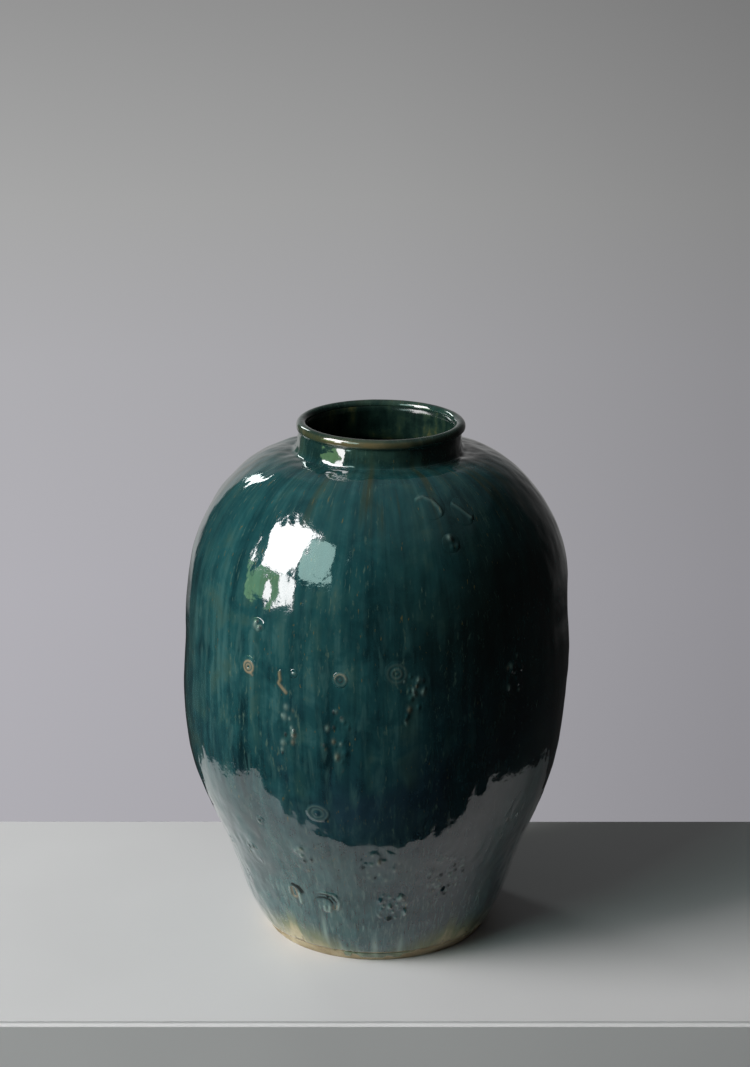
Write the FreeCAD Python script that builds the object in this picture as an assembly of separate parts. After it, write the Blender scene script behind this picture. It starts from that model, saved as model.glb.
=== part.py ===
import FreeCAD, Part
import math
import os

# A stoneware vase: a wide, high-shouldered jar with a short neck and a rolled lip.
# Millimetres, +Z up, origin at the centre of the foot. The vase stands on z = 0.
# Every piece is a solid of revolution about Z, except the drips of glaze at the foot.
# The body is thrown in two halves on a slab base, and the collar and the lip are added
# to it. Each luted seam is a bevel, where the two pieces meet face to face.

# Outside of the glazed body, as (radius, height) points of one smooth curve.
FOOT_RADIUS = 88.0
FOOT_EDGE_HEIGHT = 1.6
BELLY_RADIUS = 150.0
SHOULDER_RADIUS = 70.0
SHOULDER_HEIGHT = 385.5
BODY_CURVE = [
    (FOOT_RADIUS + FOOT_EDGE_HEIGHT, FOOT_EDGE_HEIGHT),
    (100.0, 22.0),
    (111.8, 58.0),
    (128.0, 98.0),
    (142.4, 138.0),
    (148.6, 180.0),
    (BELLY_RADIUS, 223.0),
    (148.8, 264.0),
    (142.0, 313.0),
    (126.0, 347.0),
    (91.5, 379.8),
    (SHOULDER_RADIUS, SHOULDER_HEIGHT),
]
# Stations used to offset the curve, for the clay under the glaze and for the inside wall.
CURVE_STATIONS = 30

# Glaze, outside and inside. It stops above the foot, which is bare clay.
GLAZE = 0.8
GLAZE_LINE = 9.0

# Wall, measured from the glazed outside to the bare clay inside, and the floor.
WALL_LOW = 11.0
WALL_HIGH = 8.0
FLOOR = 13.0

# Underside: a flat ring to stand on, with a shallow hollow inside it.
FOOT_HOLLOW_RADIUS = 66.0
FOOT_HOLLOW_DEPTH = 2.0

# Neck: its radius at the foot, how far it leans in towards the lip, the round that joins it
# to the shoulder, the mouth inside it and the opened corner under the mouth.
NECK_RADIUS = 64.0
NECK_LEAN_DEGREES = 10.0
NECK_ROUND = 3.5
MOUTH_RADIUS = 56.6
THROAT_ROUND = 5.0

# Rolled lip: a round bead, with its inner side flush with the mouth.
LIP_RADIUS = 64.5
VASE_HEIGHT = 409.0
BEAD_RADIUS = (LIP_RADIUS - MOUTH_RADIUS) / 2
BEAD_CENTRE = (MOUTH_RADIUS + BEAD_RADIUS, VASE_HEIGHT - BEAD_RADIUS)

# Bevelled seams between the clay pieces, each from its inside end to its outside end.
BASE_SEAM = [(79.0, 16.0), (94.0, 7.0)]
BELLY_SEAM = [(138.0, 208.0), (151.0, 200.0)]
NECK_SEAM = [(57.0, 377.2), (66.0, 386.2)]
LIP_SEAM = [(56.0, 403.4), (61.6, 400.8)]

# Drips of glaze over the bare foot, as (degrees round from +X, width, height of the lower end).
DRIPS = [
    (256.0, 6.0, 2.4),
    (268.0, 17.0, 2.4),
    (280.0, 6.5, 2.8),
    (322.0, 9.0, 4.0),
    (18.0, 7.0, 3.0),
    (77.0, 12.0, 2.6),
    (131.0, 6.0, 3.6),
    (188.0, 8.0, 3.2),
]
# Half width of a drip where its rounded end starts, as a share of its full width.
DRIP_TAPER = 0.36
# Radial reach of the blocks that cut the drips out of a ring of glaze.
DRIP_BLOCK_START = 70.0
DRIP_BLOCK_LENGTH = 35.0

AXIS_POINT = FreeCAD.Vector(0, 0, 0)
AXIS = FreeCAD.Vector(0, 0, 1)
# Limits well clear of the vase, for the flat zones that cut its outline into pieces.
FAR_IN = 50.0
FAR_OUT = 200.0
BELOW = -10.0
ABOVE = VASE_HEIGHT + 10.0


def point(radius, height):
    """A point of an outline, in the half plane through the axis and +X."""
    return FreeCAD.Vector(radius, 0, height)


def line(start, end):
    return Part.LineSegment(point(*start), point(*end)).toShape()


def arc(centre, radius, start_degrees, end_degrees):
    """An arc from one angle to another, counted from +X towards +Z."""
    places = []
    for degrees in (start_degrees, (start_degrees + end_degrees) / 2, end_degrees):
        turn = math.radians(degrees)
        places.append(point(centre[0] + radius * math.cos(turn), centre[1] + radius * math.sin(turn)))
    return Part.Arc(*places).toShape()


def start_of(edges):
    """Where a chain of edges starts, as (radius, height)."""
    place = edges[0].valueAt(edges[0].FirstParameter)
    return (place.x, place.z)


def end_of(edges):
    """Where a chain of edges ends, as (radius, height)."""
    place = edges[-1].valueAt(edges[-1].LastParameter)
    return (place.x, place.z)


def body_curve():
    """The glazed outside of the body, from the foot's edge to the neck."""
    curve = Part.BSplineCurve()
    curve.interpolate([point(*place) for place in BODY_CURVE])
    return curve


def inward_normal(curve, parameter):
    """Unit normal of the curve, towards the inside of the vase."""
    tangent = curve.tangent(parameter)[0]
    return FreeCAD.Vector(-tangent.z, 0, tangent.x)


def offset_edge(curve, first, depth_low, depth_high):
    """The curve from one parameter to its end, moved inwards by a depth that changes evenly."""
    places = []
    for station in range(CURVE_STATIONS):
        share = station / (CURVE_STATIONS - 1)
        parameter = first + (curve.LastParameter - first) * share
        depth = depth_low + (depth_high - depth_low) * share
        places.append(curve.value(parameter) + inward_normal(curve, parameter) * depth)
    moved = Part.BSplineCurve()
    moved.interpolate(places)
    return moved.toShape()


def meet_bead(start, lean, bead):
    """Where a line that rises from a point, leaning inwards, first meets the bead of the lip."""
    across = start[0] - BEAD_CENTRE[0]
    up = start[1] - BEAD_CENTRE[1]
    nearest = across * math.sin(lean) - up * math.cos(lean)
    length = nearest - math.sqrt(nearest ** 2 - across ** 2 - up ** 2 + bead ** 2)
    return (start[0] - length * math.sin(lean), start[1] + length * math.cos(lean))


def outside(depth):
    """The outside, from the foot's edge over the lip to the mouth, at a depth below the glaze."""
    curve = body_curve()
    edges = [offset_edge(curve, curve.FirstParameter, depth, depth)]
    lean = math.radians(NECK_LEAN_DEGREES)
    round_centre = (NECK_RADIUS + NECK_ROUND * math.cos(lean), SHOULDER_HEIGHT + NECK_ROUND)
    edges.append(line(end_of(edges), (round_centre[0], SHOULDER_HEIGHT - depth)))
    edges.append(arc(round_centre, NECK_ROUND + depth, -90, NECK_LEAN_DEGREES - 180))
    neck_foot = end_of(edges)
    neck_top = meet_bead(neck_foot, lean, BEAD_RADIUS - depth)
    edges.append(line(neck_foot, neck_top))
    turn = math.atan2(neck_top[1] - BEAD_CENTRE[1], neck_top[0] - BEAD_CENTRE[0])
    edges.append(arc(BEAD_CENTRE, BEAD_RADIUS - depth, math.degrees(turn), 180))
    return edges


def inside(skin):
    """The inside, from the middle of the floor up to the mouth, at a height above the bare clay."""
    curve = body_curve()
    low = curve.parameter(point(*BODY_CURVE[1]))
    wall = offset_edge(curve, low, WALL_LOW + skin, WALL_HIGH + skin)
    wall_foot = start_of([wall])
    normal = inward_normal(curve, low)
    floor = FLOOR + skin
    corner = (wall_foot[1] - floor) / (1 - normal.z)
    corner_centre = (wall_foot[0] + normal.x * corner, wall_foot[1] + normal.z * corner)
    wall_turn = math.degrees(math.atan2(-normal.z, -normal.x))
    edges = [line((0, floor), (corner_centre[0], floor))]
    edges.append(arc(corner_centre, corner, -90, wall_turn))
    edges.append(wall)
    throat_centre = (MOUTH_RADIUS + GLAZE + THROAT_ROUND, SHOULDER_HEIGHT - WALL_HIGH + THROAT_ROUND)
    edges.append(line(end_of(edges), (throat_centre[0], throat_centre[1] - THROAT_ROUND - skin)))
    edges.append(arc(throat_centre, THROAT_ROUND + skin, -90, -180))
    edges.append(line(end_of(edges), (MOUTH_RADIUS + GLAZE - skin, BEAD_CENTRE[1])))
    return edges


def underside(foot_edge):
    """The bottom of the clay, from the axis out to its worn edge."""
    hollow_edge = (FOOT_HOLLOW_RADIUS - FOOT_HOLLOW_DEPTH, FOOT_HOLLOW_DEPTH)
    return [
        line((0, FOOT_HOLLOW_DEPTH), hollow_edge),
        line(hollow_edge, (FOOT_HOLLOW_RADIUS, 0)),
        line((FOOT_HOLLOW_RADIUS, 0), (FOOT_RADIUS, 0)),
        line((FOOT_RADIUS, 0), foot_edge),
    ]


def face_inside(edges):
    return Part.Face(Part.Wire(Part.__sortEdges__(edges)))


def zone(lower_seam, upper_seam):
    """The flat region between two seams, from the axis to well outside the vase."""
    places = [(0, lower_seam[0][1])] + lower_seam + [(FAR_OUT, lower_seam[-1][1])]
    places += [(FAR_OUT, upper_seam[-1][1])] + upper_seam[::-1] + [(0, upper_seam[0][1])]
    places.append(places[0])
    return Part.Face(Part.makePolygon([point(*place) for place in places]))


def level(height):
    """A level cut right across the outline, in the form that zone takes for a seam."""
    return [(FAR_IN, height), (FAR_OUT / 2, height)]


def turned(face, lower_seam, upper_seam):
    """The ring made by turning the part of a flat outline that lies between two seams."""
    part_of_face = face.common(zone(lower_seam, upper_seam)).Faces[0]
    return part_of_face.revolve(AXIS_POINT, AXIS, 360)


def clay_face():
    """The whole clay wall and floor, cut through on one side of the axis."""
    outer = outside(GLAZE)
    inner = inside(0)
    edges = underside(start_of(outer)) + outer + inner
    edges.append(line((0, FOOT_HOLLOW_DEPTH), (0, FLOOR)))
    return face_inside(edges)


def outer_coat_face():
    """The glaze on the outside, from the foot's edge over the lip to the mouth."""
    surface = outside(0)
    clay = outside(GLAZE)
    ends = [line(start_of(surface), start_of(clay)), line(end_of(surface), end_of(clay))]
    return face_inside(surface + clay + ends)


def inner_coat_face():
    """The glaze on the inside, from the floor up to the mouth."""
    surface = inside(GLAZE)
    clay = inside(0)
    ends = [line(start_of(surface), start_of(clay)), line(end_of(surface), end_of(clay))]
    return face_inside(surface + clay + ends)


def drip_block(degrees, width, lowest):
    """A radial block whose end is the drip's outline: straight sides and a rounded lower end."""
    half = width / 2
    end_half = width * DRIP_TAPER
    end_height = lowest + min(end_half, (GLAZE_LINE - lowest) / 2)
    start = DRIP_BLOCK_START
    top_left = FreeCAD.Vector(start, -half, GLAZE_LINE)
    top_right = FreeCAD.Vector(start, half, GLAZE_LINE)
    low_left = FreeCAD.Vector(start, -end_half, end_height)
    low_right = FreeCAD.Vector(start, end_half, end_height)
    bottom = FreeCAD.Vector(start, 0, lowest)
    outline = Part.Wire([
        Part.LineSegment(top_right, top_left).toShape(),
        Part.LineSegment(top_left, low_left).toShape(),
        Part.Arc(low_left, bottom, low_right).toShape(),
        Part.LineSegment(low_right, top_right).toShape(),
    ])
    block = Part.Face(outline).extrude(FreeCAD.Vector(DRIP_BLOCK_LENGTH, 0, 0))
    block.rotate(AXIS_POINT, AXIS, degrees)
    return block


def glaze_drips():
    """Separate tongues of glaze that run from the glaze line down over the bare foot."""
    ring = turned(outer_coat_face(), level(BELOW), level(GLAZE_LINE))
    drips = []
    for degrees, width, lowest in DRIPS:
        drips += ring.common(drip_block(degrees, width, lowest)).Solids
    return Part.makeCompound(drips)


def pieces():
    """Every piece of the vase by name."""
    clay = clay_face()
    return {
        "base_disc": turned(clay, level(BELOW), BASE_SEAM),
        "lower_body": turned(clay, BASE_SEAM, BELLY_SEAM),
        "upper_body": turned(clay, BELLY_SEAM, NECK_SEAM),
        "neck_collar": turned(clay, NECK_SEAM, LIP_SEAM),
        "rolled_lip": turned(clay, LIP_SEAM, level(ABOVE)),
        "glaze_outer": turned(outer_coat_face(), level(GLAZE_LINE), level(ABOVE)),
        "glaze_drips": glaze_drips(),
        "glaze_inner": turned(inner_coat_face(), level(BELOW), level(ABOVE)),
    }


def main():
    os.makedirs("parts", exist_ok=True)
    for name, shape in pieces().items():
        box = shape.BoundBox
        litres = sum(solid.Volume for solid in shape.Solids) / 1e6
        print(name, "solids", len(shape.Solids), "valid", shape.isValid(), "litres", round(litres, 4))
        print("   x", round(box.XMin, 1), round(box.XMax, 1), "z", round(box.ZMin, 2), round(box.ZMax, 2))
        shape.exportStep("parts/" + name + ".step")


main()
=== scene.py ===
import math

import bmesh
import bpy
import numpy as np
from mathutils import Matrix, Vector, noise


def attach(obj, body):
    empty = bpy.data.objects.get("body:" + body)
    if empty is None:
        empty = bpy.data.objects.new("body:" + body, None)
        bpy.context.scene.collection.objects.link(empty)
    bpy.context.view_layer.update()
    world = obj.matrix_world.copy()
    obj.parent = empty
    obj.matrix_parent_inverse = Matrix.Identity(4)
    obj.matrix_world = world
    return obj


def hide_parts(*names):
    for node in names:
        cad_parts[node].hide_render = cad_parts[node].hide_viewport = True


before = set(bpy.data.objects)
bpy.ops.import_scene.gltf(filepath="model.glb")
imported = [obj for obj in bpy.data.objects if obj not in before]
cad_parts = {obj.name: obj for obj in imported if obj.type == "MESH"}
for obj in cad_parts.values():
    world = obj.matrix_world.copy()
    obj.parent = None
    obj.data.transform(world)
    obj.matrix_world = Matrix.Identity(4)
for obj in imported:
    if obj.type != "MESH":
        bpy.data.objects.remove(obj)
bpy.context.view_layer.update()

# A stoneware vase under a thick, runny teal glaze. Metres, in the frame of the CAD.
# Every outline is read off the turned CAD nodes. What is added here is the hand work:
# a vase that is a little out of round, throwing rings, runs of glaze, blisters and scars,
# a ragged glaze line over bare clay, and the finish of glaze and clay.

MM = 0.001
FULL_TURN = 2 * math.pi

# Thickness of the glaze, and the heights where the neck starts and where the lip's bead starts.
GLAZE = 0.8 * MM
NECK_FOOT = 384.5 * MM
BEAD_FOOT = 401.5 * MM

# Distance between the points of the coat's profile.
PROFILE_STEP = 0.25 * MM
# Columns of the outer coat: closer together on the side that faces -Y.
COAT_COLUMNS = 360
FRONT = math.radians(-92)
FRONT_SHARE = 1.15
# Columns of the other pieces, which show only at the foot and through the mouth.
PLAIN_COLUMNS = 180
# How far up the body the rows of the coat follow its ragged lower edge.
EDGE_REACH = 45 * MM
# Rings and sectors of a scar's patch, for each mm of the longer of its two half sizes.
SCAR_RINGS = 1.3
SCAR_SECTORS = 4.2

# The lights stand this far from a point on the axis, a little above the belly.
LIGHT_DISTANCE = 3.5
LIGHT_CENTRE = Vector((0, 0, 0.28))


# ---------------------------------------------------------------- outlines from the frame

def seam_path(node):
    """The outline of a turned CAD node: its vertices on the half plane y = 0, x > 0, in order."""
    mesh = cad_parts[node].data
    flat = np.zeros(len(mesh.vertices) * 3)
    mesh.vertices.foreach_get("co", flat)
    places = flat.reshape(-1, 3)
    ends = np.zeros(len(mesh.edges) * 2, int)
    mesh.edges.foreach_get("vertices", ends)
    on_seam = (np.abs(places[:, 1]) < 1e-6) & (places[:, 0] > 1e-4)
    beside = {}
    for a, b in ends.reshape(-1, 2):
        if on_seam[a] and on_seam[b]:
            one = (round(places[a, 0], 6), round(places[a, 2], 6))
            other = (round(places[b, 0], 6), round(places[b, 2], 6))
            if one != other:
                beside.setdefault(one, set()).add(other)
                beside.setdefault(other, set()).add(one)
    loose = sorted((p for p in beside if len(beside[p]) == 1), key=lambda p: p[1])
    lowest = min(beside, key=lambda p: (p[1], -p[0]))
    path = [loose[0] if loose else lowest]
    upper = max(beside[path[0]], key=lambda p: p[1])
    while upper is not None:
        path.append(upper)
        ahead = [p for p in beside[upper] if p not in path]
        upper = ahead[0] if ahead else None
    if loose:
        path = [(0.0, path[0][1])] + path + [(0.0, path[-1][1])]
    else:
        path.append(path[0])
    path = np.array(path)
    ahead = np.roll(path, -1, axis=0)
    area = np.sum(path[:, 0] * ahead[:, 1] - ahead[:, 0] * path[:, 1])
    return path if area > 0 or loose else path[::-1]


def natural_spline(along, values, wanted):
    """A natural cubic spline through values, evaluated at the places wanted."""
    count = len(along)
    if count < 3:
        return np.interp(wanted, along, values)
    gap = np.diff(along)
    matrix = np.eye(count)
    right = np.zeros(count)
    for i in range(1, count - 1):
        matrix[i, i - 1:i + 2] = gap[i - 1], 2 * (gap[i - 1] + gap[i]), gap[i]
        right[i] = 6 * ((values[i + 1] - values[i]) / gap[i] - (values[i] - values[i - 1]) / gap[i - 1])
    bend = np.linalg.solve(matrix, right)
    i = np.clip(np.searchsorted(along, wanted) - 1, 0, count - 2)
    a = (along[i + 1] - wanted) / gap[i]
    b = 1 - a
    cubic = (a ** 3 - a) * bend[i] + (b ** 3 - b) * bend[i + 1]
    return a * values[i] + b * values[i + 1] + cubic * gap[i] ** 2 / 6


def even_outline(path, step, corner=math.radians(32)):
    """Points a step apart along a path: a smooth curve through its vertices, split at its corners."""
    run = np.diff(path, axis=0)
    turn = np.arctan2(run[:, 1], run[:, 0])
    bend = np.abs((np.diff(turn) + math.pi) % FULL_TURN - math.pi)
    breaks = [0] + [i + 1 for i in range(len(bend)) if bend[i] > corner] + [len(path) - 1]
    pieces = []
    for first, last in zip(breaks[:-1], breaks[1:]):
        part = path[first:last + 1]
        along = np.r_[0, np.cumsum(np.hypot(*np.diff(part, axis=0).T))]
        count = max(1, round(along[-1] / step))
        wanted = np.linspace(0, along[-1], count + 1)
        r = natural_spline(along, part[:, 0], wanted)
        z = natural_spline(along, part[:, 1], wanted)
        pieces.append(np.c_[r, z][:-1])
    return np.vstack(pieces + [path[-1:]])


def softened(outline, reach):
    """The outline with its corners rounded over about the reach, in points. Its ends stay."""
    weights = np.exp(-0.5 * (np.arange(-3 * reach, 3 * reach + 1) / reach) ** 2)
    weights /= weights.sum()
    pad = 3 * reach
    before = 2 * outline[0] - outline[pad:0:-1]
    after = 2 * outline[-1] - outline[-2:-pad - 2:-1]
    padded = np.vstack([before, outline, after])
    return np.c_[[np.convolve(padded[:, k], weights, "valid") for k in (0, 1)]].T


class Profile:
    """A dense outline with its length, places and outward normals, read by distance along it."""

    def __init__(self, outline):
        self.outline = outline
        self.along = np.r_[0, np.cumsum(np.hypot(*np.diff(outline, axis=0).T))]
        slope = np.gradient(outline, self.along, axis=0)
        slope /= np.hypot(*slope.T)[:, None]
        self.normal = np.c_[slope[:, 1], -slope[:, 0]]
        self.length = self.along[-1]

    def at(self, s):
        """(radius, height, outward normal's two parts) at distances s."""
        columns = (self.outline[:, 0], self.outline[:, 1], self.normal[:, 0], self.normal[:, 1])
        return [np.interp(s, self.along, column) for column in columns]

    def where_height(self, z):
        """Distance along the profile of the first point as high as z."""
        return float(self.along[np.argmax(self.outline[:, 1] >= z)])


def coat_profile():
    """The glazed outside from just above the foot's edge, over the lip, to the mouth."""
    base = seam_path("base_disc")
    flat_edge = base[base[:, 1] < 1e-6][:, 0].max()
    rim = base[(base[:, 0] > flat_edge) & (base[:, 1] > MM)]
    run = rim[-1] - rim[0]
    out = np.array([run[1], -run[0]]) / np.hypot(*run)
    coat = seam_path("glaze_outer")
    mouth = int(np.argmin(coat[:, 0] + (coat[:, 1] < coat[:, 1].max() - 5 * MM)))
    path = np.vstack([rim + out * GLAZE, coat[:mouth + 1]])
    return Profile(softened(even_outline(path, PROFILE_STEP), 3))


# ---------------------------------------------------------------- the hand-made shape

def step_up(x, low, high):
    """0 below low, 1 above high, smooth between."""
    t = np.clip((x - low) / (high - low), 0, 1)
    return t * t * (3 - 2 * t)


def bell(x, middle, half):
    """A soft hump of height 1 about the middle."""
    return np.exp(-((x - middle) / half) ** 2)


def turn_between(theta, middle):
    """Angle from the middle to theta, between minus and plus half a turn."""
    return (theta - middle + math.pi) % FULL_TURN - math.pi


def around(theta, degrees, half_degrees):
    """A soft hump of height 1 about an angle."""
    return bell(turn_between(theta, math.radians(degrees)), 0, math.radians(half_degrees))


def lumps(places, size, seed):
    """Smooth noise, between about -1 and 1, with lumps of the given size in x, y and z."""
    scaled = places.reshape(-1, 3) / np.array(size) + seed
    return np.array([noise.noise(Vector(p)) for p in scaled]).reshape(places.shape[:-1])


# How far the vase leans to +X at each height, from the foot to the lip.
LEAN_HEIGHTS = np.array([0, 20, 60, 110, 150, 180, 215, 265, 295, 330, 355, 384, 392, 401, 404]) * MM
LEAN = np.array([0, -0.6, -0.8, -1.2, -2.0, -1.8, -0.2, 0.0, 1.3, 1.9, 1.3, 1.4, 2.2, 2.6, 3.3]) * MM


def warped(places):
    """Places moved as the whole vase is out of true: body, walls and coat move together."""
    x, y, z = places[..., 0], places[..., 1], places[..., 2]
    theta = np.arctan2(y, x)
    r = np.hypot(x, y)
    body = step_up(z, 0.0, 0.10) * (1 - step_up(z, 0.33, 0.38))
    oval = 0.4 * MM * np.cos(2 * theta + 0.9) * body
    dent = -1.0 * MM * around(theta, 180, 20) * bell(z, 0.238, 0.017)
    ridge = 0.5 * MM * around(theta, 0, 30) * bell(z, 0.240, 0.010)
    slack = -0.8 * MM * bell(z, 0.268, 0.030) - 0.5 * MM * bell(z, 0.385, 0.030)
    swell = 1.1 * MM * bell(z, 0.045, 0.035)
    moved = (oval + dent + ridge + slack + swell) * step_up(r, 0.055, 0.08)
    scale = 1 + moved / np.maximum(r, 0.03)
    lip = 0.4 * step_up(z, 0.380, 0.390) + 0.6 * step_up(z, 0.398, 0.404)
    raised = (y * math.tan(math.radians(1.6)) - x * math.tan(math.radians(0.45))) * lip
    return np.stack([x * scale + np.interp(z, LEAN_HEIGHTS, LEAN), y * scale, z + raised], axis=-1)


def drip_reach(theta):
    """How far below the glaze line the coat runs at each angle, from the drips in the frame."""
    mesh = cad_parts["glaze_drips"].data
    flat = np.zeros(len(mesh.vertices) * 3)
    mesh.vertices.foreach_get("co", flat)
    drips = flat.reshape(-1, 3)
    line = drips[:, 2].max()
    turns = np.arctan2(drips[:, 1], drips[:, 0])
    angles = np.sort(turns)
    starts = np.r_[0, np.where(np.diff(angles) > math.radians(3))[0] + 1]
    reach = np.zeros_like(theta)
    for first, last in zip(starts, np.r_[starts[1:], len(angles)]):
        low, high = angles[first], angles[last - 1]
        inside = (turns >= low) & (turns <= high)
        depth = line - drips[inside, 2].min()
        across = np.abs(turn_between(theta, (low + high) / 2)) / ((high - low) / 2)
        reach = np.maximum(reach, depth * (1 - step_up(across, 0.45, 1.3)))
    return line, reach


def glaze_edge(theta):
    """Height of the ragged lower edge of the coat at each angle."""
    line, reach = drip_reach(theta)
    foot_radius = 90 * MM
    ring = turned(theta, foot_radius, 0 * theta)
    ragged = 2.2 * lumps(ring, [0.012] * 3, 3.0) + 1.6 * lumps(ring, [0.005] * 3, 8.0)
    low = 6.3 * around(theta, -89, 15)
    return np.clip(line + (ragged - low) * MM - reach, 2.0 * MM, line + 3 * MM)


def relief(places, s, z):
    """How far the coat's surface stands off its plain outline, before the scars."""
    body = 1 - step_up(z, NECK_FOOT - MM, NECK_FOOT + MM)
    neck = step_up(z, NECK_FOOT - 4.5 * MM, NECK_FOOT + 0.5 * MM)
    neck = neck * (1 - step_up(z, BEAD_FOOT - 3 * MM, BEAD_FOOT - 0.5 * MM))
    foot = step_up(s, 0.0, 0.03)
    rings = 0.05 * np.sin(FULL_TURN * z / 0.019 + 2.2 * lumps(places, [0.2, 0.2, 0.06], 1.0))
    broad = 0.34 * lumps(places, [0.040, 0.040, 0.055], 6.3)
    middle = 0.33 * lumps(places, [0.017, 0.017, 0.024], 9.0)
    small = 0.16 * lumps(places, [0.0075, 0.0075, 0.009], 13.0)
    runs = 0.24 * lumps(places, [0.009, 0.009, 0.070], 17.0)
    rough_neck = 0.45 * lumps(places, [0.009, 0.009, 0.007], 21.0)
    rough_neck = rough_neck + 0.9 * lumps(places, [0.022, 0.022, 0.012], 31.0)
    low_bumps = 0.40 * lumps(places, [0.0060, 0.0060, 0.0075], 25.0) * (1 - step_up(z, 0.08, 0.19))
    stand = body * foot * (rings + broad + middle + small + low_bumps)
    stand = stand + (0.3 + 0.7 * foot * body) * runs
    return MM * (stand + neck * rough_neck)


# ---------------------------------------------------------------- blisters and scars

def stroke(u, v, points, half):
    """A soft line of height 1 along a chain of points."""
    nearest = np.full(u.shape, 1e9)
    for (u0, v0), (u1, v1) in zip(points[:-1], points[1:]):
        run_u, run_v = u1 - u0, v1 - v0
        share = np.clip(((u - u0) * run_u + (v - v0) * run_v) / (run_u ** 2 + run_v ** 2), 0, 1)
        nearest = np.minimum(nearest, np.hypot(u - u0 - share * run_u, v - v0 - share * run_v))
    return np.exp(-(nearest / half) ** 2)


# Each shape below gives three things at every (u, v), which are mm across and up from the
# scar's middle: its height in mm, how bare the clay is (below 0: painted shade, near black, in pits,
# cuts and hollows) and how pale the glaze is (milky glaze, and painted glints on bumps and rings).

def popped_bubble(u, v):
    """Two raised rings round a pit, burnt ochre, with a tail to the lower right."""
    rho = np.hypot(u, v)
    rings = bell(rho, 4.3, 0.8) + bell(rho, 1.9, 0.7)
    tail = stroke(u, v, [(2.5, -4.5), (5.0, -6.5)], 0.8)
    return 0.34 * rings + 0.3 * tail - 0.25 * bell(rho, 0, 0.8), rings + 0.7 * tail, 0 * u


def ochre_streak(u, v):
    line = stroke(u, v, [(-3.4, 8.0), (-2.4, 2.0), (-3.6, -1.0), (3.4, -8.0)], 1.1)
    return 0.25 * line, 0.9 * line, 0 * u


def grey_ring(u, v):
    rho = np.hypot(u, v)
    arch = bell(rho, 4.0, 0.8) * (0.6 + 0.4 * np.tanh(v))
    # Pale: a painted highlight along the ring. Below 0, inside it: painted shade.
    return 0.45 * arch + 0.25 * bell(rho, 0, 1.2), 0.5 * arch - 0.8 * bell(rho, 1.9, 0.8), 0.3 * arch


def ripples(u, v):
    rho = np.hypot(u, v)
    wave = 0.5 * (1 + np.cos(FULL_TURN * rho / 3.4)) * bell(rho, 0, 8.0)
    # Pale: a painted highlight, light caught on the ripples.
    return 0.34 * wave, 0.1 * wave, 0.15 * wave


def egg_ring(u, v):
    rho = np.hypot(u / 1.25, v)
    heights = 0.36 * bell(rho, 6.0, 1.0) + 0.45 * bell(np.hypot(u + 0.8, v), 0, 2.0)
    heights = heights + 0.22 * bell(rho, 3.6, 0.7)
    # Pale: painted highlights on the rings.
    return heights, 0 * u, 0.3 * (bell(rho, 3.6, 0.9) + bell(rho, 6.0, 0.8))


def pinhole(u, v):
    rho = np.hypot(u, v)
    # Below 0: painted shade, near black, in the hole.
    return 0.25 * bell(rho, 2.0, 0.8) - 0.5 * bell(rho, 0, 1.1), -1.0 * bell(rho, 0, 1.2), 0 * u


def speck(u, v):
    bump = bell(np.hypot(u, 1.5 * v), 0, 1.3)
    return 0.5 * bump, 0 * u, 0.7 * bump


def gouge(u, v):
    """A torn pit that shows the clay, with painted shade above it and a thick pale run of glaze under it,
    which carries a painted highlight.
    """
    pit = stroke(u, v, [(-2.8, 3.5), (-2.6, -2.5)], 2.6)
    shade = stroke(u, v, [(-2.4, 8.0), (2.2, 6.8), (4.2, 2.8)], 2.1)
    run = stroke(u, v, [(2.4, 0.0), (2.0, -4.0), (2.8, -9.0)], 1.5)
    rim = stroke(u, v, [(-6.6, -2.0), (-6.2, 5.0)], 1.0)
    heights = 0.6 * rim + 0.9 * run - 0.3 * shade - 0.66 * pit
    return heights, 1.1 * pit - 1.6 * shade, 0.9 * run + 0.4 * rim


def hook_scar(u, v):
    """A curved cut like a fingernail's, deep along its upper edge, with painted shade in the cut, clay at
    its end and painted glints on the beads below.
    """
    cut = stroke(u, v, [(-8.8, 5.0), (-3.0, 5.8), (2.0, 4.4), (4.6, 0.6)], 2.1)
    clay = stroke(u, v, [(5.4, -1.8), (4.6, -5.4)], 1.7)
    bank = stroke(u, v, [(-8.0, 9.2), (-1.5, 9.8), (6.0, 8.0), (9.0, 1.0), (7.4, -7.0)], 1.0)
    beads = stroke(u, v, [(-3.0, -4.5), (-2.5, -9.0)], 1.5)
    beads = beads + stroke(u, v, [(1.4, -4.5), (0.4, -9.0)], 1.5)
    heights = 0.7 * bank + 0.8 * beads - 0.6 * (cut + clay)
    return heights, 0.9 * clay - 1.7 * cut, 0.4 * bank + 0.9 * beads


def pimples(count, half_u, half_v, seed, tall=1.0):
    """A cloud of small bumps: some have lost their glaze, some get painted shade and some painted glints."""
    places = np.random.default_rng(seed).uniform(-1, 1, (count, 4))

    def shape(u, v):
        heights, bare_and_shade, pale = np.zeros((3, *u.shape))
        for a, b, size, chance in places:
            bump = bell(np.hypot(u - a * half_u, (v - b * half_v) / 1.4), 0, 1.3 + 0.5 * size)
            heights += tall * (0.46 + 0.22 * size) * bump
            # Below 0: painted shade on some bumps. Pale: painted glints on others.
            bare_and_shade += (0.4 * (chance < -0.8) - 0.9 * (chance > 0.75)) * bump
            pale += 0.6 * (abs(chance) < 0.35) * bump
        return heights, bare_and_shade, pale
    return shape


def long_run(u, v):
    """A thick hooked run of glaze, standing up where it turned and stopped."""
    line = stroke(u, v, [(-9.0, 6.0), (-3.0, 7.5), (3.0, 3.5), (6.5, -3.5), (7.2, -10.0)], 1.5)
    return 0.75 * line, 0 * u, 0.25 * line


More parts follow.
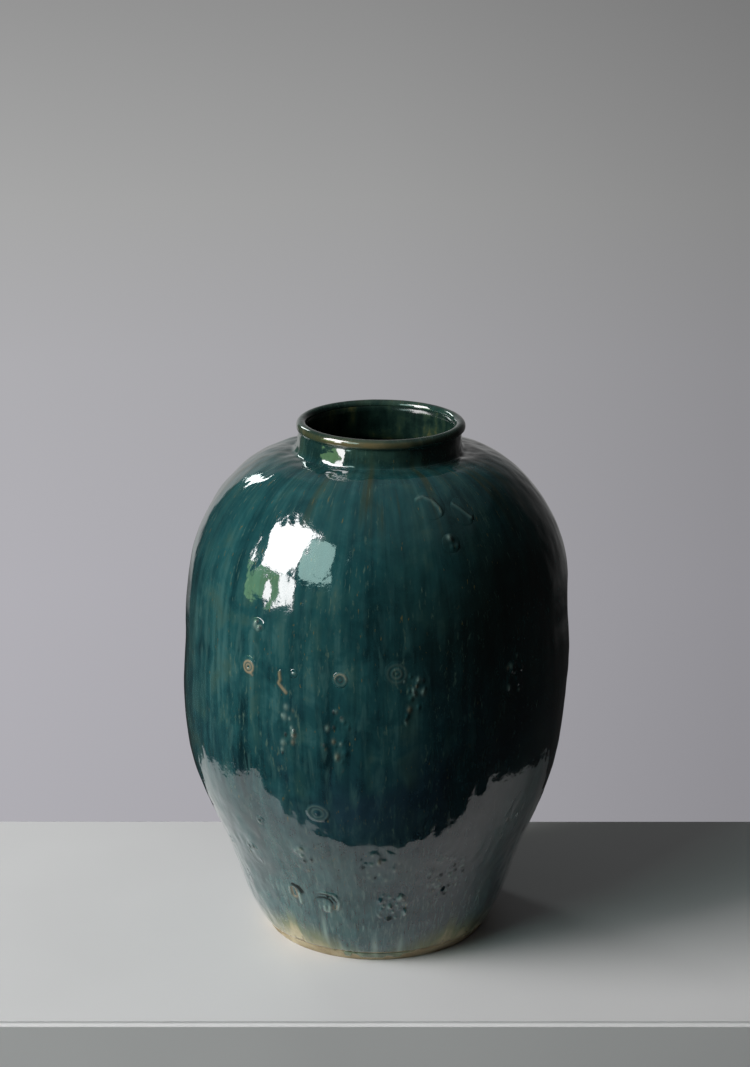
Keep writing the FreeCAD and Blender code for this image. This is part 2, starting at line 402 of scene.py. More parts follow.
def short_run(u, v):
    line = stroke(u, v, [(-6.0, 8.0), (0.0, 1.0), (5.0, -6.5)], 1.3)
    return 0.55 * line + 0.4 * bell(np.hypot(u - 5.0, v + 6.5), 0, 1.9), 0 * u, 0.2 * line


# Pale, milky runs at the foot, as (angle, half width in degrees, length in mm).
PALE_RUNS = [
    (-137, 1.2, 12), (-112, 0.9, 60), (-105.5, 1.7, 26), (-98, 0.9, 20), (-90.5, 1.3, 42), (-79.2, 1.4, 40),
    (-71, 0.8, 16), (-30, 1.3, 30), (21, 1.8, 26), (76, 1.4, 34), (128, 1.6, 20),
]

# (angle in degrees, then in mm the height of its middle, its half width and its half height, shape).
SCARS = [
    (-128.9, 251.0, 9.0, 9.0, popped_bubble),
    (-117.0, 245.0, 7.5, 11.5, ochre_streak),
    (-113.8, 253.0, 3.5, 3.5, speck),
    (-126.5, 284.0, 8.0, 6.0, pimples(7, 6, 3, 1, 0.7)),
    (-100.1, 252.0, 6.5, 6.5, grey_ring),
    (-84.4, 257.0, 11.0, 11.0, ripples),
    (-79.5, 238.0, 13.0, 28.0, pimples(18, 8, 20, 2)),
    (-47.4, 243.0, 13.0, 22.0, pimples(18, 8, 16, 3, 1.8)),
    (-116.0, 206.0, 12.0, 30.0, pimples(20, 8, 23, 4, 0.8)),
    (-101.0, 205.0, 13.0, 32.0, pimples(24, 9, 25, 5, 0.8)),
    (-106.7, 145.0, 11.0, 9.5, egg_ring),
    (-128.0, 127.0, 4.5, 4.5, pinhole),
    (-121.6, 61.0, 9.0, 13.0, gouge),
    (-108.5, 58.0, 13.0, 13.0, hook_scar),
    (-83.6, 56.0, 15.0, 18.0, pimples(38, 11, 14, 6, 1.7)),
    (-64.0, 82.0, 19.0, 28.0, pimples(60, 15, 22, 7, 0.8)),
    (-88.0, 96.0, 19.0, 22.0, pimples(30, 14, 17, 8, 0.4)),
    (-138.0, 88.0, 10.0, 14.0, pimples(10, 7, 10, 9, 0.8)),
    (-114.0, 98.0, 13.0, 18.0, pimples(12, 9, 13, 19, 0.7)),
    (-70.0, 369.0, 13.0, 14.0, long_run),
    (-57.7, 363.0, 10.0, 13.0, short_run),
    (-66.0, 345.0, 8.0, 8.0, pimples(4, 5, 5, 10)),
    (-157.0, 82.0, 6.0, 6.0, speck),
    (-152.0, 55.0, 6.0, 6.0, speck),
    (-40.0, 120.0, 14.0, 26.0, pimples(20, 10, 20, 11, 0.8)),
    (15.0, 215.0, 13.0, 24.0, pimples(18, 9, 18, 12, 0.8)),
    (38.0, 248.0, 9.0, 9.0, popped_bubble),
    (72.0, 120.0, 14.0, 24.0, pimples(22, 10, 18, 13, 0.8)),
    (95.0, 250.0, 11.0, 9.5, egg_ring),
    (128.0, 242.0, 6.5, 6.5, grey_ring),
    (112.0, 62.0, 13.0, 13.0, hook_scar),
    (152.0, 180.0, 13.0, 24.0, pimples(20, 9, 18, 14, 0.8)),
    (105.0, 366.0, 13.0, 14.0, long_run),
]


# ---------------------------------------------------------------- meshes

def new_piece(name, mesh, material, slot, *nodes):
    piece = bpy.data.objects.new(name, mesh)
    bpy.context.scene.collection.objects.link(piece)
    mesh.materials.append(material)
    mesh.polygons.foreach_set("use_smooth", [True] * len(mesh.polygons))
    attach(piece, "root")
    if nodes:
        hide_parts(*nodes)
    return piece


def grid_mesh(name, places, closed_rows):
    """A mesh of rows of points round the axis, of shape (rows, columns, 3)."""
    rows, columns = places.shape[:2]
    across = np.arange(columns)
    beside = (across + 1) % columns
    last = rows if closed_rows else rows - 1
    row = np.arange(last)[:, None]
    above = (row + 1) % rows
    quads = np.stack([
        row * columns + across,
        row * columns + beside,
        above * columns + beside,
        above * columns + across,
    ], axis=-1).reshape(-1, 4)
    mesh = bpy.data.meshes.new(name)
    mesh.from_pydata(places.reshape(-1, 3).tolist(), [], quads.tolist())
    return mesh


def merge_poles(mesh):
    """Joins the points of a row that lies on the axis into one."""
    work = bmesh.new()
    work.from_mesh(mesh)
    poles = [v for v in work.verts if math.hypot(v.co.x, v.co.y) < 0.5 * MM]
    bmesh.ops.remove_doubles(work, verts=poles, dist=0.9 * MM)
    work.to_mesh(mesh)
    work.free()


def turned(theta, r, z):
    """Places at an angle, a radius and a height."""
    return np.stack([r * np.cos(theta), r * np.sin(theta), z], axis=-1)


def plain_piece(name, node, material, slot, step):
    """A piece with a CAD node's own outline, turned and put out of true with the rest."""
    path = seam_path(node)
    closed = bool(np.allclose(path[0], path[-1]))
    outline = even_outline(path, step)
    if closed:
        outline = outline[:-1]
    theta = np.linspace(0, FULL_TURN, PLAIN_COLUMNS, endpoint=False)
    r, z = outline[:, :1], outline[:, 1:]
    places = warped(turned(theta[None, :], r, z + 0 * theta[None, :]))
    mesh = grid_mesh(name, places, closed)
    if not closed:
        merge_poles(mesh)
    return new_piece(name, mesh, material, slot, node)


def coat_columns():
    """Angles of the coat's columns, closer together at the front."""
    fine = np.linspace(0, FULL_TURN, 4001)
    density = 1 + FRONT_SHARE * np.exp(-(turn_between(fine, FRONT) / 1.15) ** 4)
    total = np.r_[0, np.cumsum((density[1:] + density[:-1]) / 2 * np.diff(fine))]
    return np.interp(np.arange(COAT_COLUMNS) / COAT_COLUMNS * total[-1], total, fine)


def coat_rows(profile):
    """Distances of the coat's rows: close at the foot, neck and lip, wider on the body."""
    s = np.linspace(0, profile.length, 4001)
    neck = profile.where_height(NECK_FOOT)
    at_foot = 1 - step_up(s, 0.02, 0.06)
    from_neck_up = step_up(s, neck - 0.02, neck)
    # 3.1 mm apart on the body, 1.3 mm at the foot and 0.8 mm from the neck up.
    spacing = 3.1 - 1.8 * at_foot - 2.3 * from_neck_up
    total = np.r_[0, np.cumsum(np.diff(s) / (spacing[1:] * MM))]
    return np.interp(np.linspace(0, total[-1], round(total[-1]) + 1), total, s)


def scar_frame(profile, scar):
    """A scar's angle, its distance along the profile and the radius there."""
    degrees, height = scar[:2]
    middle = profile.where_height(height * MM)
    return math.radians(degrees), middle, profile.at(middle)[0]


def sunk_under_scars(profile, theta, s):
    """How far the coat steps back under each patch, to leave room for the scar's own surface."""
    sunk = np.zeros(np.broadcast(theta, s).shape)
    for scar in SCARS:
        turn, middle, radius = scar_frame(profile, scar)
        across = turn_between(theta, turn) * radius / (scar[2] * MM)
        rho = np.hypot(across, (s - middle) / (scar[3] * MM))
        sunk = np.maximum(sunk, 0.5 * MM * (1 - step_up(rho, 0.62, 0.88)))
    return sunk


def stand_off(profile, theta, s, raised):
    """How far the coat stands off its plain outline: its relief and an extra height. The 0.18 mm
    keep it proud on the whole, and it never sinks through the glaze's thickness."""
    r, z = profile.at(s)[:2]
    stand = relief(turned(theta, r, z), s, z)
    return np.maximum(stand + 0.18 * MM + raised, -0.70 * MM)


def off_outline(profile, theta, s, stand):
    """Places at a distance off the coat's plain outline, out of true like the rest of the vase."""
    r, z, n_r, n_z = profile.at(s)
    return warped(turned(theta, r + n_r * stand, z + n_z * stand))


def edge_distances(profile, theta):
    """Distance along the profile of the coat's ragged lower edge at each angle."""
    low = slice(round(100 * MM / PROFILE_STEP))
    return np.interp(glaze_edge(theta), profile.outline[low, 1], profile.along[low])


def foot_halo(theta, above_edge):
    """How thin the coat is above its lower edge: more, and further up, at a few angles."""
    halo = 0.25 + 0.95 * (around(theta, -131, 27) + around(theta, -50, 26))
    halo = halo + 0.7 * (around(theta, 50, 20) + around(theta, 140, 25))
    return halo * (1 - step_up(above_edge, 0, (16 + 24 * np.minimum(halo, 1)) * MM))


def thin_lip(profile, s):
    """How thin the coat is on the lip's bead: most on its outside, less over its top."""
    bead = s - profile.where_height(BEAD_FOOT)
    return step_up(bead, 1.2 * MM, 3.2 * MM) * (1 - 0.75 * step_up(bead, 5.6 * MM, 7.8 * MM))


def pale_runs(theta, above_edge):
    """How milky the coat is in the runs that rise from its lower edge."""
    pale = np.zeros(above_edge.shape)
    for degrees, half_degrees, top in PALE_RUNS:
        rise = 1 - step_up(above_edge, 0.45 * top * MM, top * MM)
        pale = np.maximum(pale, around(theta, degrees, half_degrees) * rise)
    return 0.9 * pale


def outer_glaze(profile, material):
    """The coat as a closed skin: its surface, then back down inside against the clay."""
    theta = coat_columns()[None, :]
    outside_rows = coat_rows(profile)[:, None]
    # Every fifth row, from the mouth down to just above the foot.
    inside_rows = outside_rows[:0:-5]
    edge = edge_distances(profile, theta[0])[None, :]
    s, s_inside = [rows + edge * (1 - step_up(rows, 0, EDGE_REACH)) for rows in (outside_rows, inside_rows)]
    above_edge = s - edge
    # The coat rounds off to nothing at its lower edge, and flattens over the last mm at the mouth.
    from_edge = np.clip(above_edge / (1.6 * MM), 0, 1)
    thick = np.sqrt(1 - (1 - from_edge) ** 2)
    to_mouth = np.clip((profile.length - outside_rows) / MM, 0, 1)
    stand = stand_off(profile, theta, s, -sunk_under_scars(profile, theta, s))
    stand = stand * thick * to_mouth - GLAZE * (1 - thick)
    outside = off_outline(profile, theta, s, stand)
    inside = off_outline(profile, theta, s_inside, -GLAZE)
    mesh = grid_mesh("outer_glaze", np.concatenate([outside, inside], axis=0), True)
    shares = {
        "pale": pale_runs(theta, above_edge),
        "foot": foot_halo(theta, above_edge),
        "lip": thin_lip(profile, outside_rows),
    }
    for name, share in shares.items():
        values = np.zeros((len(outside) + len(inside), COAT_COLUMNS))
        values[:len(outside)] = share
        store(mesh, name, values)
    return new_piece("outer_glaze", mesh, material, "glaze_outside", "glaze_outer", "glaze_drips")


def store(mesh, name, values):
    """Keeps a number for each point of a mesh, for its material to read."""
    layer = mesh.attributes.new(name, "FLOAT", "POINT")
    layer.data.foreach_set("value", np.asarray(values, np.float32).ravel())


def lens_faces(start, rings, sectors):
    """Faces of a closed lens: rings of points from its rim in, the middle of its top, and the
    middle of its underside."""
    faces = []
    top = start + rings * sectors
    for a in range(start, top - sectors, sectors):
        for k in range(sectors):
            m = (k + 1) % sectors
            faces.append((a + k, a + m, a + sectors + m, a + sectors + k))
    innermost = top - sectors
    for k in range(sectors):
        m = (k + 1) % sectors
        faces.append((innermost + k, innermost + m, top))
        faces.append((start + m, start + k, top + 1))
    return faces


def glaze_scars(profile, material):
    """The blisters and scars, each a thin closed lens let into the coat."""
    vertices, faces, bare_and_shade, pale = [], [], [], []
    for scar in SCARS:
        turn, middle, radius = scar_frame(profile, scar)
        half_u, half_v, shape = scar[2:]
        rings = max(8, round(SCAR_RINGS * max(half_u, half_v)))
        sectors = max(24, round(SCAR_SECTORS * max(half_u, half_v)))
        rho = np.linspace(1, 0, rings + 1)[:, None]
        phi = np.arange(sectors)[None, :] / sectors * FULL_TURN
        u = half_u * rho * np.cos(phi)
        v = half_v * rho * np.sin(phi)
        heights, clay_and_shade, paleness = shape(u, v)
        fade = 1 - step_up(rho, 0.72, 0.94)
        # The rim dips into the coat. All points of the innermost ring are one, so one is kept.
        raised = MM * (heights * fade + 0.02 - 0.30 * step_up(rho, 0.86, 1.0))
        kept = rings * sectors + 1
        theta = turn + u * MM / radius
        s = middle + v * MM
        top = off_outline(profile, theta, s, stand_off(profile, theta, s, raised)).reshape(-1, 3)
        under = warped(turned(turn, radius - 0.6 * MM, profile.at(middle)[1]))
        faces += lens_faces(len(vertices), rings, sectors)
        vertices += top[:kept].tolist() + [under.tolist()]
        for values, layer in ((clay_and_shade, bare_and_shade), (paleness, pale)):
            layer += np.clip(values * fade, -1, 1).reshape(-1)[:kept].tolist() + [0.0]
    mesh = bpy.data.meshes.new("glaze_scars")
    mesh.from_pydata(vertices, [], faces)
    store(mesh, "bare_and_shade", bare_and_shade)
    store(mesh, "pale", pale)
    return new_piece("glaze_scars", mesh, material, "glaze_outside")


# ---------------------------------------------------------------- materials

class Nodes:
    """A node tree, built one node at a time. A link is given as the output it comes from."""

    def __init__(self, tree):
        self.nodes = tree.nodes
        self.links = tree.links

    def add(self, kind, inputs=None, **settings):
        node = self.nodes.new(kind)
        for name, value in settings.items():
            setattr(node, name, value)
        for name, value in (inputs or {}).items():
            self.put(node.inputs[name], value)
        return node

    def put(self, socket, value):
        if isinstance(value, bpy.types.NodeSocket):
            self.links.new(value, socket)
        else:
            socket.default_value = value

    def math(self, operation, a, b=0.0, clamp=False):
        return self.add("ShaderNodeMath", {0: a, 1: b}, operation=operation, use_clamp=clamp).outputs[0]

    def times(self, a, b, clamp=False):
        return self.math("MULTIPLY", a, b, clamp)

    def vector(self, operation, a, b=(0, 0, 0), scale=1.0):
        node = self.add("ShaderNodeVectorMath", {0: a, 1: b}, operation=operation)
        node.inputs[3].default_value = scale
        return node.outputs["Vector"]

    def towards(self, place, direction):
        """How far a place lies along a direction."""
        return self.add("ShaderNodeVectorMath", {0: place, 1: direction}, operation="DOT_PRODUCT").outputs[1]

    def ramp(self, value, stops):
        """A colour or grey ramp from (position, colour or number) stops."""
        node = self.add("ShaderNodeValToRGB", {"Fac": value})
        ramp = node.color_ramp
        while len(ramp.elements) < len(stops):
            ramp.elements.new(0.5)
        for element, (position, colour) in zip(ramp.elements, stops):
            element.position = position
            element.color = (*([colour] * 3 if isinstance(colour, (int, float)) else colour), 1)
        return node.outputs["Color"]

    def ranged_ramp(self, value, low, high, stops):
        """A ramp for values from low to high, with stops at positions in that range."""
        limits = {"Value": value, "From Min": low, "From Max": high}
        share = self.add("ShaderNodeMapRange", limits).outputs[0]
        shares = [((place - low) / (high - low), colour) for place, colour in stops]
        return self.ramp(share, shares)


class Shader(Nodes):
    """A material, with the nodes that feed its surface."""

    def __init__(self, name):
        self.material = bpy.data.materials.new(name)
        self.material.use_nodes = True
        super().__init__(self.material.node_tree)
        self.surface = self.nodes["Principled BSDF"]
        self.where = self.add("ShaderNodeTexCoord").outputs["Object"]

    def set_input(self, name, value):
        """Sets or links one of the surface's inputs."""
        self.put(self.surface.inputs[name], value)

    def noise(self, place, scale, detail=3.0, roughness=0.55, distortion=0.0):
        inputs = {"Vector": place, "Scale": scale, "Detail": detail, "Roughness": roughness}
        inputs["Distortion"] = distortion
        return self.add("ShaderNodeTexNoise", inputs).outputs["Fac"]

    def streaks(self, around, along, *settings):
        """Noise that runs down the vase as streaks: it changes with the place round the axis and,
        more slowly, with the height."""
        parts = self.add("ShaderNodeSeparateXYZ", {0: self.where}).outputs
        flat = self.add("ShaderNodeCombineXYZ", {0: parts[0], 1: parts[1], 2: 0.0}).outputs[0]
        ring = self.vector("SCALE", self.vector("NORMALIZE", flat), scale=around)
        rise = self.add("ShaderNodeCombineXYZ", {0: 0.0, 1: 0.0, 2: self.times(parts[2], along)}).outputs[0]
        return self.noise(self.vector("ADD", ring, rise), 1.0, *settings)

    def mix(self, share, a, b):
        """A mix of two colours: a where the share is 0, b where it is 1."""
        node = self.add("ShaderNodeMix", data_type="RGBA")
        for name, kind, value in (("Factor", "VALUE", share), ("A", "RGBA", a), ("B", "RGBA", b)):
            socket = [i for i in node.inputs if i.name == name and i.type == kind][0]
            self.put(socket, (*value, 1) if isinstance(value, tuple) else value)
        return [o for o in node.outputs if o.type == "RGBA"][0]

    def attribute(self, name):
        return self.add("ShaderNodeAttribute", attribute_name=name).outputs["Fac"]

    def bump(self, height, strength, distance):
        """A normal bent by a height."""
        inputs = {"Strength": strength, "Distance": distance, "Height": height}
        return self.add("ShaderNodeBump", inputs).outputs[0]


class TealGlaze(Shader):
    """The teal glaze: layers of colour over one another, then a glossy coat."""

    # Mean of the noises that the streaks are mixed from. Calming them pulls them towards it.
    MEAN_NOISE = 0.515

    def __init__(self):
        super().__init__("teal_glaze")
        self.height = self.add("ShaderNodeSeparateXYZ", {0: self.where}).outputs[2]
        self.broad = self.streaks(5, 5, 3, 0.5, 0.8)
        self.mottle = self.noise(self.where, 38, 5, 0.62, 0.5)
        self.cloud = self.noise(self.where, 11, 3, 0.5, 0.4)
        self.side = self.towards(self.where, (4.7, -4.7, 0.0))
        self.left = self.towards(self.where, (-3.8, -5.5, 0.0))
        # Painted shade: a share of blue-black on the right, the side away from the lights, broken up by the
        # cloud noise.
        self.thick = self.times(self.ramp(self.side, [(0.58, 0.0), (0.92, 0.72)]),
                                self.ramp(self.cloud, [(0.36, 0.45), (0.56, 1.0)]))
        self.bare_and_shade = self.attribute("bare_and_shade")

    def at_height(self, *stops):
        """A ramp over the height, in metres."""
        return self.ramp(self.height, stops)

    def streaked_teal(self):
        """Light and dark streaks, calmer on the shoulder."""
        fine = self.streaks(17, 8, 4, 0.6, 0.4)
        streak = self.math("ADD", self.times(fine, 0.33), self.times(self.broad, 0.32))
        streak = self.math("ADD", streak, self.times(self.mottle, 0.35))
        calm = self.at_height((0.25, 0.85), (0.34, 0.52))
        swing = self.times(calm, self.math("SUBTRACT", streak, self.MEAN_NOISE))
        return self.ramp(self.math("ADD", self.MEAN_NOISE, swing), [
            (0.40, (0.002, 0.016, 0.019)),
            (0.46, (0.006, 0.038, 0.044)),
            (0.53, (0.013, 0.069, 0.075)),
            (0.60, (0.046, 0.132, 0.136)),
        ])

    def pooled(self, colour):
        """Blue low down; a lighter teal at the lower left, painted light on the side that faces the lights;
        blue-black on the right, painted shade on the side away from them; and olive in places. Left and
        right are as seen from the front, at -Y."""
        low = self.times(self.at_height((0.03, 0.3), (0.14, 1.0), (0.22, 0.3), (0.30, 0.0)),
                         self.ramp(self.cloud, [(0.42, 0.15), (0.57, 0.9)]))
        low = self.times(low, self.ramp(self.side, [(0.10, 0.25), (0.55, 1.0)]))
        colour = self.mix(low, colour, (0.019, 0.045, 0.074))
        # Painted light: a lighter teal low on the left, the side that faces the lights.
        painted_light_left = self.times(self.ramp(self.left, [(0.40, 0.0), (0.66, 0.5)]),
                               self.at_height((0.09, 1.0), (0.17, 0.0)))
        lit_teal_colour = self.ramp(self.mottle, [(0.40, (0.012, 0.066, 0.070)), (0.60, (0.044, 0.136, 0.136))])
        colour = self.mix(painted_light_left, colour, lit_teal_colour)
        # Painted shade on the right: blue-black low down, olive-black higher up.
        right_shade_colour = self.at_height((0.20, (0.004, 0.012, 0.020)), (0.28, (0.010, 0.019, 0.015)))
        colour = self.mix(self.thick, colour, right_shade_colour)
        olive = self.times(self.ramp(self.mottle, [(0.46, 0.0), (0.72, 0.75)]),
                           self.ramp(self.broad, [(0.47, 0.0), (0.62, 1.0)]))
        return self.mix(olive, colour, (0.028, 0.056, 0.038))

    def shoulder_and_neck(self, colour):
        """Brown runs high on the shoulder, and a darker green neck: partly the glaze's own green, partly
        painted shade under the lip.
        """
        brown = self.ramp(self.streaks(9, 10, 3), [(0.55, 0.0), (0.66, 0.75)])
        brown = self.times(self.at_height((0.340, 0.0), (0.375, 1.0)), brown)
        colour = self.mix(brown, colour, (0.040, 0.048, 0.022))
        # Partly the glaze's own darker green, partly painted shade under the lip's overhang.
        neck = self.at_height((NECK_FOOT - MM, 0.0), (NECK_FOOT + 4 * MM, 0.85))
        neck_green_and_shade = self.ramp(self.mottle, [(0.40, (0.006, 0.022, 0.019)), (0.62, (0.022, 0.050, 0.036))])
        return self.mix(neck, colour, neck_green_and_shade)

    def speckled(self, colour):
        """Smudges on the belly, pale specks, light and darker flecks near the foot, the milky runs, the
        scars' pale parts, which are partly painted glints, and ochre specks."""
        smudge = self.ramp(self.streaks(24, 34, 3, 0.55, 0.6), [(0.53, 0.0), (0.68, 0.5)])
        smudge = self.times(smudge, self.at_height((0.10, 0.0), (0.14, 1.0), (0.27, 1.0), (0.32, 0.3)))
        # The smudges stay off the painted shade on the right.
        smudge = self.times(smudge, self.math("SUBTRACT", 1.0, self.thick))
        colour = self.mix(smudge, colour, (0.044, 0.114, 0.112))
        pale = self.times(self.ramp(self.streaks(60, 110, 3, 0.6), [(0.60, 0.0), (0.71, 0.8)]),
                          self.ramp(self.streaks(6, 12, 2), [(0.44, 0.0), (0.56, 1.0)]))
        colour = self.mix(pale, colour, (0.075, 0.130, 0.105))
        near_foot = self.at_height((0.04, 1.0), (0.16, 0.0))
        # Light and darker flecks near the foot, from the same noise.
        flecks = self.streaks(42, 75, 4, 0.65)
        light_flecks = self.times(near_foot, self.ramp(flecks, [(0.54, 0.0), (0.68, 0.85)]))
        colour = self.mix(light_flecks, colour, (0.105, 0.180, 0.165))
        sunk = self.times(near_foot, self.ramp(flecks, [(0.34, 0.8), (0.45, 0.0)]))
        colour = self.mix(sunk, colour, (0.004, 0.018, 0.022))
        # Pale: the milky runs, and on the scars partly painted glints.
        colour = self.mix(self.attribute("pale"), colour, (0.20, 0.29, 0.26))
        specks = self.ramp(self.streaks(75, 160, 2, 0.5), [(0.70, 0.0), (0.75, 0.9)])
        return self.mix(specks, colour, (0.11, 0.095, 0.04))

    def worn_edges(self, colour):
        """Olive, then ochre, where the coat thins out above the bare foot; olive-brown on the lip."""
        patch = self.ramp(self.streaks(9, 30, 5, 0.65, 0.5), [(0.30, 0.62), (0.66, 1.1)])
        halo = self.times(self.attribute("foot"), patch, clamp=True)
        ochre = self.ramp(self.mottle, [(0.35, (0.28, 0.24, 0.11)), (0.62, (0.50, 0.42, 0.24))])
        worn = self.mix(self.ramp(halo, [(0.55, 0.0), (0.95, 1.0)]), (0.175, 0.190, 0.075), ochre)
        colour = self.mix(self.ramp(halo, [(0.03, 0.0), (0.30, 0.40), (0.70, 0.95)]), colour, worn)
        patch = self.ramp(self.noise(self.where, 24, 4, 0.6), [(0.40, 0.1), (0.56, 0.95)])
        lip = self.times(self.attribute("lip"), patch, clamp=True)
        lip = self.times(lip, self.ramp(self.left, [(0.05, 0.25), (0.33, 0.9)]))
        brown = self.ramp(self.mottle, [(0.42, (0.050, 0.056, 0.026)), (0.62, (0.140, 0.110, 0.052))])
        return self.mix(lip, colour, brown)

    def scarred(self, colour):
        """Clay where a scar is bare, and painted shade, near black, in its pits and cuts."""
        clay = self.ramp(self.mottle, [(0.4, (0.17, 0.13, 0.06)), (0.6, (0.30, 0.22, 0.14))])
        # Painted shade: the hollow share, near black, in pits and cuts.
        pit_shade = self.times(self.bare_and_shade, -1.0, clamp=True)
        return self.mix(pit_shade, self.mix(self.bare_and_shade, colour, clay), (0.002, 0.008, 0.008))


def glaze_material():
    s = TealGlaze()
    colour = s.streaked_teal()
    for layer in (s.pooled, s.shoulder_and_neck, s.speckled, s.worn_edges, s.scarred):
        colour = layer(colour)
    s.set_input("Base Color", colour)
    gloss = s.math("SUBTRACT", 1.0, s.math("ABSOLUTE", s.bare_and_shade), clamp=True)
    matt = s.times(s.math("SUBTRACT", 1.0, gloss), 0.7)
    s.set_input("Roughness", s.math("ADD", matt, s.ramp(s.mottle, [(0.3, 0.06), (0.7, 0.13)])))
    s.set_input("IOR", 1.5)
    s.set_input("Coat Weight", gloss)
    s.set_input("Coat Roughness", 0.03)
    s.set_input("Coat IOR", 1.5)
    peel = s.times(s.noise(s.where, 210, 3, 0.5), 0.45)
    waves = s.times(s.noise(s.where, 90, 2), 0.8)
    normal = s.bump(s.math("ADD", peel, waves), 0.14, 1.5 * MM)
    s.set_input("Normal", normal)
    s.set_input("Coat Normal", normal)
    return s.material


def liner_material():
    s = Shader("green_liner_glaze")
    mottle = s.noise(s.where, 60, 4, 0.6, 0.4)
    runs = s.streaks(9, 8, 3, 0.5)
    s.set_input("Base Color", s.ramp(s.math("ADD", s.times(mottle, 0.65), s.times(runs, 0.35)), [
        (0.38, (0.004, 0.012, 0.010)),
        (0.48, (0.008, 0.022, 0.017)),
        (0.56, (0.018, 0.036, 0.022)),
        (0.66, (0.070, 0.072, 0.026)),
    ]))
    s.set_input("Roughness", s.ramp(mottle, [(0.3, 0.14), (0.7, 0.28)]))
    s.set_input("Normal", s.bump(mottle, 0.2, 1.2 * MM))
    return s.material


def clay_material():
    s = Shader("bare_stoneware")
    grain = s.noise(s.where, 900, 5, 0.7)
    colour = s.ramp(s.noise(s.where, 40, 4, 0.6, 0.3), [
        (0.30, (0.240, 0.175, 0.095)),
        (0.50, (0.410, 0.330, 0.205)),
        (0.70, (0.530, 0.450, 0.305)),
    ])
    specks = s.ramp(s.noise(s.where, 1500, 2, 0.5), [(0.30, 1.0), (0.36, 0.0)])
    s.set_input("Base Color", s.mix(specks, colour, (0.06, 0.035, 0.02)))
    s.set_input("Roughness", s.ramp(grain, [(0.3, 0.72), (0.7, 0.92)]))
    s.set_input("Normal", s.bump(grain, 0.5, 0.6 * MM))
    return s.material


# ---------------------------------------------------------------- floor, light and camera

def rounded_slab(name, low, high, bevel):
    """A box between two corners, with its edges rounded."""
    work = bmesh.new()
    bmesh.ops.create_cube(work, size=1.0)
    for v in work.verts:
        v.co = [l + (h - l) * (c + 0.5) for l, h, c in zip(low, high, v.co)]
    bmesh.ops.bevel(work, geom=work.edges[:], offset=bevel, segments=3, affect="EDGES")
    mesh = bpy.data.meshes.new(name)
    work.to_mesh(mesh)
    work.free()
    return mesh


def pale_floor():
    """The slab that the vase stands on. It isn't part of the object."""
    s = Shader("pale_floor")
    shade = s.noise(s.where, 3.0, 3, 0.5)
    s.set_input("Base Color", s.ramp(shade, [(0.3, (0.60, 0.59, 0.60)), (0.7, (0.66, 0.65, 0.66))]))
    s.set_input("Roughness", 0.6)
    mesh = rounded_slab("floor", (-0.37, -0.186, -0.12), (0.36, 0.174, 0.0), 3 * MM)
    mesh.materials.append(s.material)
    floor = bpy.data.objects.new("floor", mesh)
    bpy.context.scene.collection.objects.link(floor)


def window_light(name, azimuths, elevations, radiance, colour):
    """A soft rectangular light that fills a range of directions, seen from the vase.
    Azimuth is 0 in front, at -Y, and 90 at +X."""
    azimuth = math.radians(sum(azimuths) / 2)
    elevation = math.radians(sum(elevations) / 2)
    towards = Vector((
        math.sin(azimuth) * math.cos(elevation),
        -math.cos(azimuth) * math.cos(elevation),
        math.sin(elevation),
    ))
    data = bpy.data.lights.new(name, "AREA")
    data.shape = "RECTANGLE"
    data.size = LIGHT_DISTANCE * math.radians(azimuths[1] - azimuths[0]) * math.cos(elevation)
    data.size_y = LIGHT_DISTANCE * math.radians(elevations[1] - elevations[0])
    data.energy = radiance * math.pi * data.size * data.size_y
    data.color = colour
    light = bpy.data.objects.new(name, data)
    bpy.context.scene.collection.objects.link(light)
    light.location = towards * LIGHT_DISTANCE + LIGHT_CENTRE
    light.rotation_mode = "QUATERNION"
    light.rotation_quaternion = towards.to_track_quat("Z", "Y")
    light.visible_camera = False


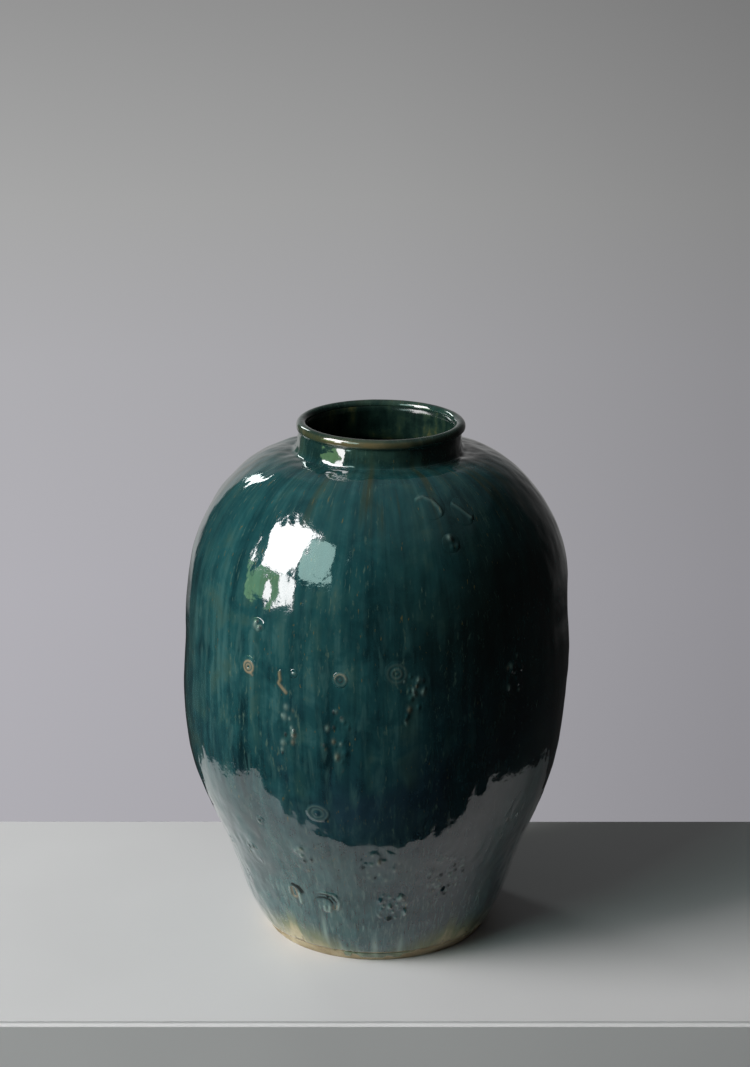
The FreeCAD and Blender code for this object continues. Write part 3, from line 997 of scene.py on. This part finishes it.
def studio_world():
    """Plain surroundings: a pale grey backdrop, which fades to the right, and a dim room."""
    world = bpy.data.worlds.new("studio")
    bpy.context.scene.world = world
    world.use_nodes = True
    world.node_tree.nodes.clear()
    w = Nodes(world.node_tree)
    direction = w.add("ShaderNodeTexCoord").outputs["Generated"]
    x, y, z = w.add("ShaderNodeSeparateXYZ", {0: direction}).outputs
    # What the glaze mirrors: the wall behind the vase, brightest towards -X, a dim room and its
    # ceiling.
    wall = w.ranged_ramp(w.math("ARCTAN2", x, y), -1.6, 1.6, [
        (-0.54, 0.0), (-0.46, 0.38), (0.0, 0.30), (0.26, 0.15), (0.46, 0.06), (0.75, 0.025), (1.0, 0.0),
    ])
    wall_height = w.ranged_ramp(z, -0.5, 1.0, [
        (-0.31, 0.0), (-0.22, 1.0), (0.12, 1.0), (0.45, 0.4), (0.80, 0.1),
    ])
    room = w.ranged_ramp(x, -1.0, 1.0, [(-0.6, 0.020), (0.0, 0.014), (0.5, 0.011)])
    ceiling = w.ranged_ramp(z, 0.0, 1.0, [(0.60, 0.0), (0.90, 0.065)])
    surroundings = w.vector("ADD", w.vector("MULTIPLY", wall, wall_height), room)
    surroundings = w.vector("ADD", surroundings, ceiling)
    # What the camera sees behind the vase.
    across = w.ranged_ramp(x, -0.2, 0.2, [(-0.17, 0.415), (0.0, 0.36), (0.17, 0.265)])
    upwards = w.ranged_ramp(z, -0.45, 0.0, [
        (-0.41, (1.03, 1.01, 1.09)),
        (-0.30, (1.06, 1.04, 1.12)),
        (-0.20, (1.02, 1.01, 1.06)),
        (-0.127, 0.93),
        (-0.036, 0.73),
    ])
    backdrop = w.vector("MULTIPLY", across, upwards)
    shown = w.add("ShaderNodeMixShader", {
        0: w.add("ShaderNodeLightPath").outputs["Is Camera Ray"],
        1: w.add("ShaderNodeBackground", {"Color": surroundings}).outputs[0],
        2: w.add("ShaderNodeBackground", {"Color": backdrop}).outputs[0],
    })
    w.add("ShaderNodeOutputWorld", {"Surface": shown.outputs[0]})


def front_camera():
    """In front of the vase, above the lip and looking down."""
    data = bpy.data.cameras.new("camera")
    data.sensor_width = 36.0
    data.lens = 70.853
    camera = bpy.data.objects.new("camera", data)
    bpy.context.scene.collection.objects.link(camera)
    camera.location = (-0.0012, -1.558, 0.774)
    camera.rotation_euler = (math.radians(90 - 16.3), 0, 0)
    bpy.context.scene.camera = camera


# ---------------------------------------------------------------- the scene

def build():
    front_camera()
    clay = clay_material()
    glaze = glaze_material()
    liner = liner_material()
    profile = coat_profile()
    outer_glaze(profile, glaze)
    glaze_scars(profile, glaze)
    plain_piece("inner_glaze", "glaze_inner", liner, "glaze_inside", 4 * MM)
    plain_piece("clay_foot", "base_disc", clay, "clay", 1.5 * MM)
    plain_piece("clay_lower_body", "lower_body", clay, "clay", 6 * MM)
    plain_piece("clay_upper_body", "upper_body", clay, "clay", 6 * MM)
    plain_piece("clay_collar", "neck_collar", clay, "clay", 2 * MM)
    plain_piece("clay_lip", "rolled_lip", clay, "clay", 1 * MM)
    pale_floor()
    studio_world()
    window_light("window_upper", (-86, -53), (17.8, 49), 13.5, (1.0, 0.98, 0.98))
    window_light("window_lower", (-64.5, -53), (0, 18), 11.0, (1.0, 0.98, 0.98))
    window_light("window_garden", (-85, -64.7), (0, 17.6), 1.6, (0.55, 1.0, 0.40))
    window_light("window_front", (-51, -32), (21, 42), 4.0, (0.68, 1.0, 0.93))
    window_light("window_back", (-147, -141), (20, 36), 8.0, (0.9, 1.0, 0.97))
    bpy.context.scene.view_settings.view_transform = "Standard"


build()
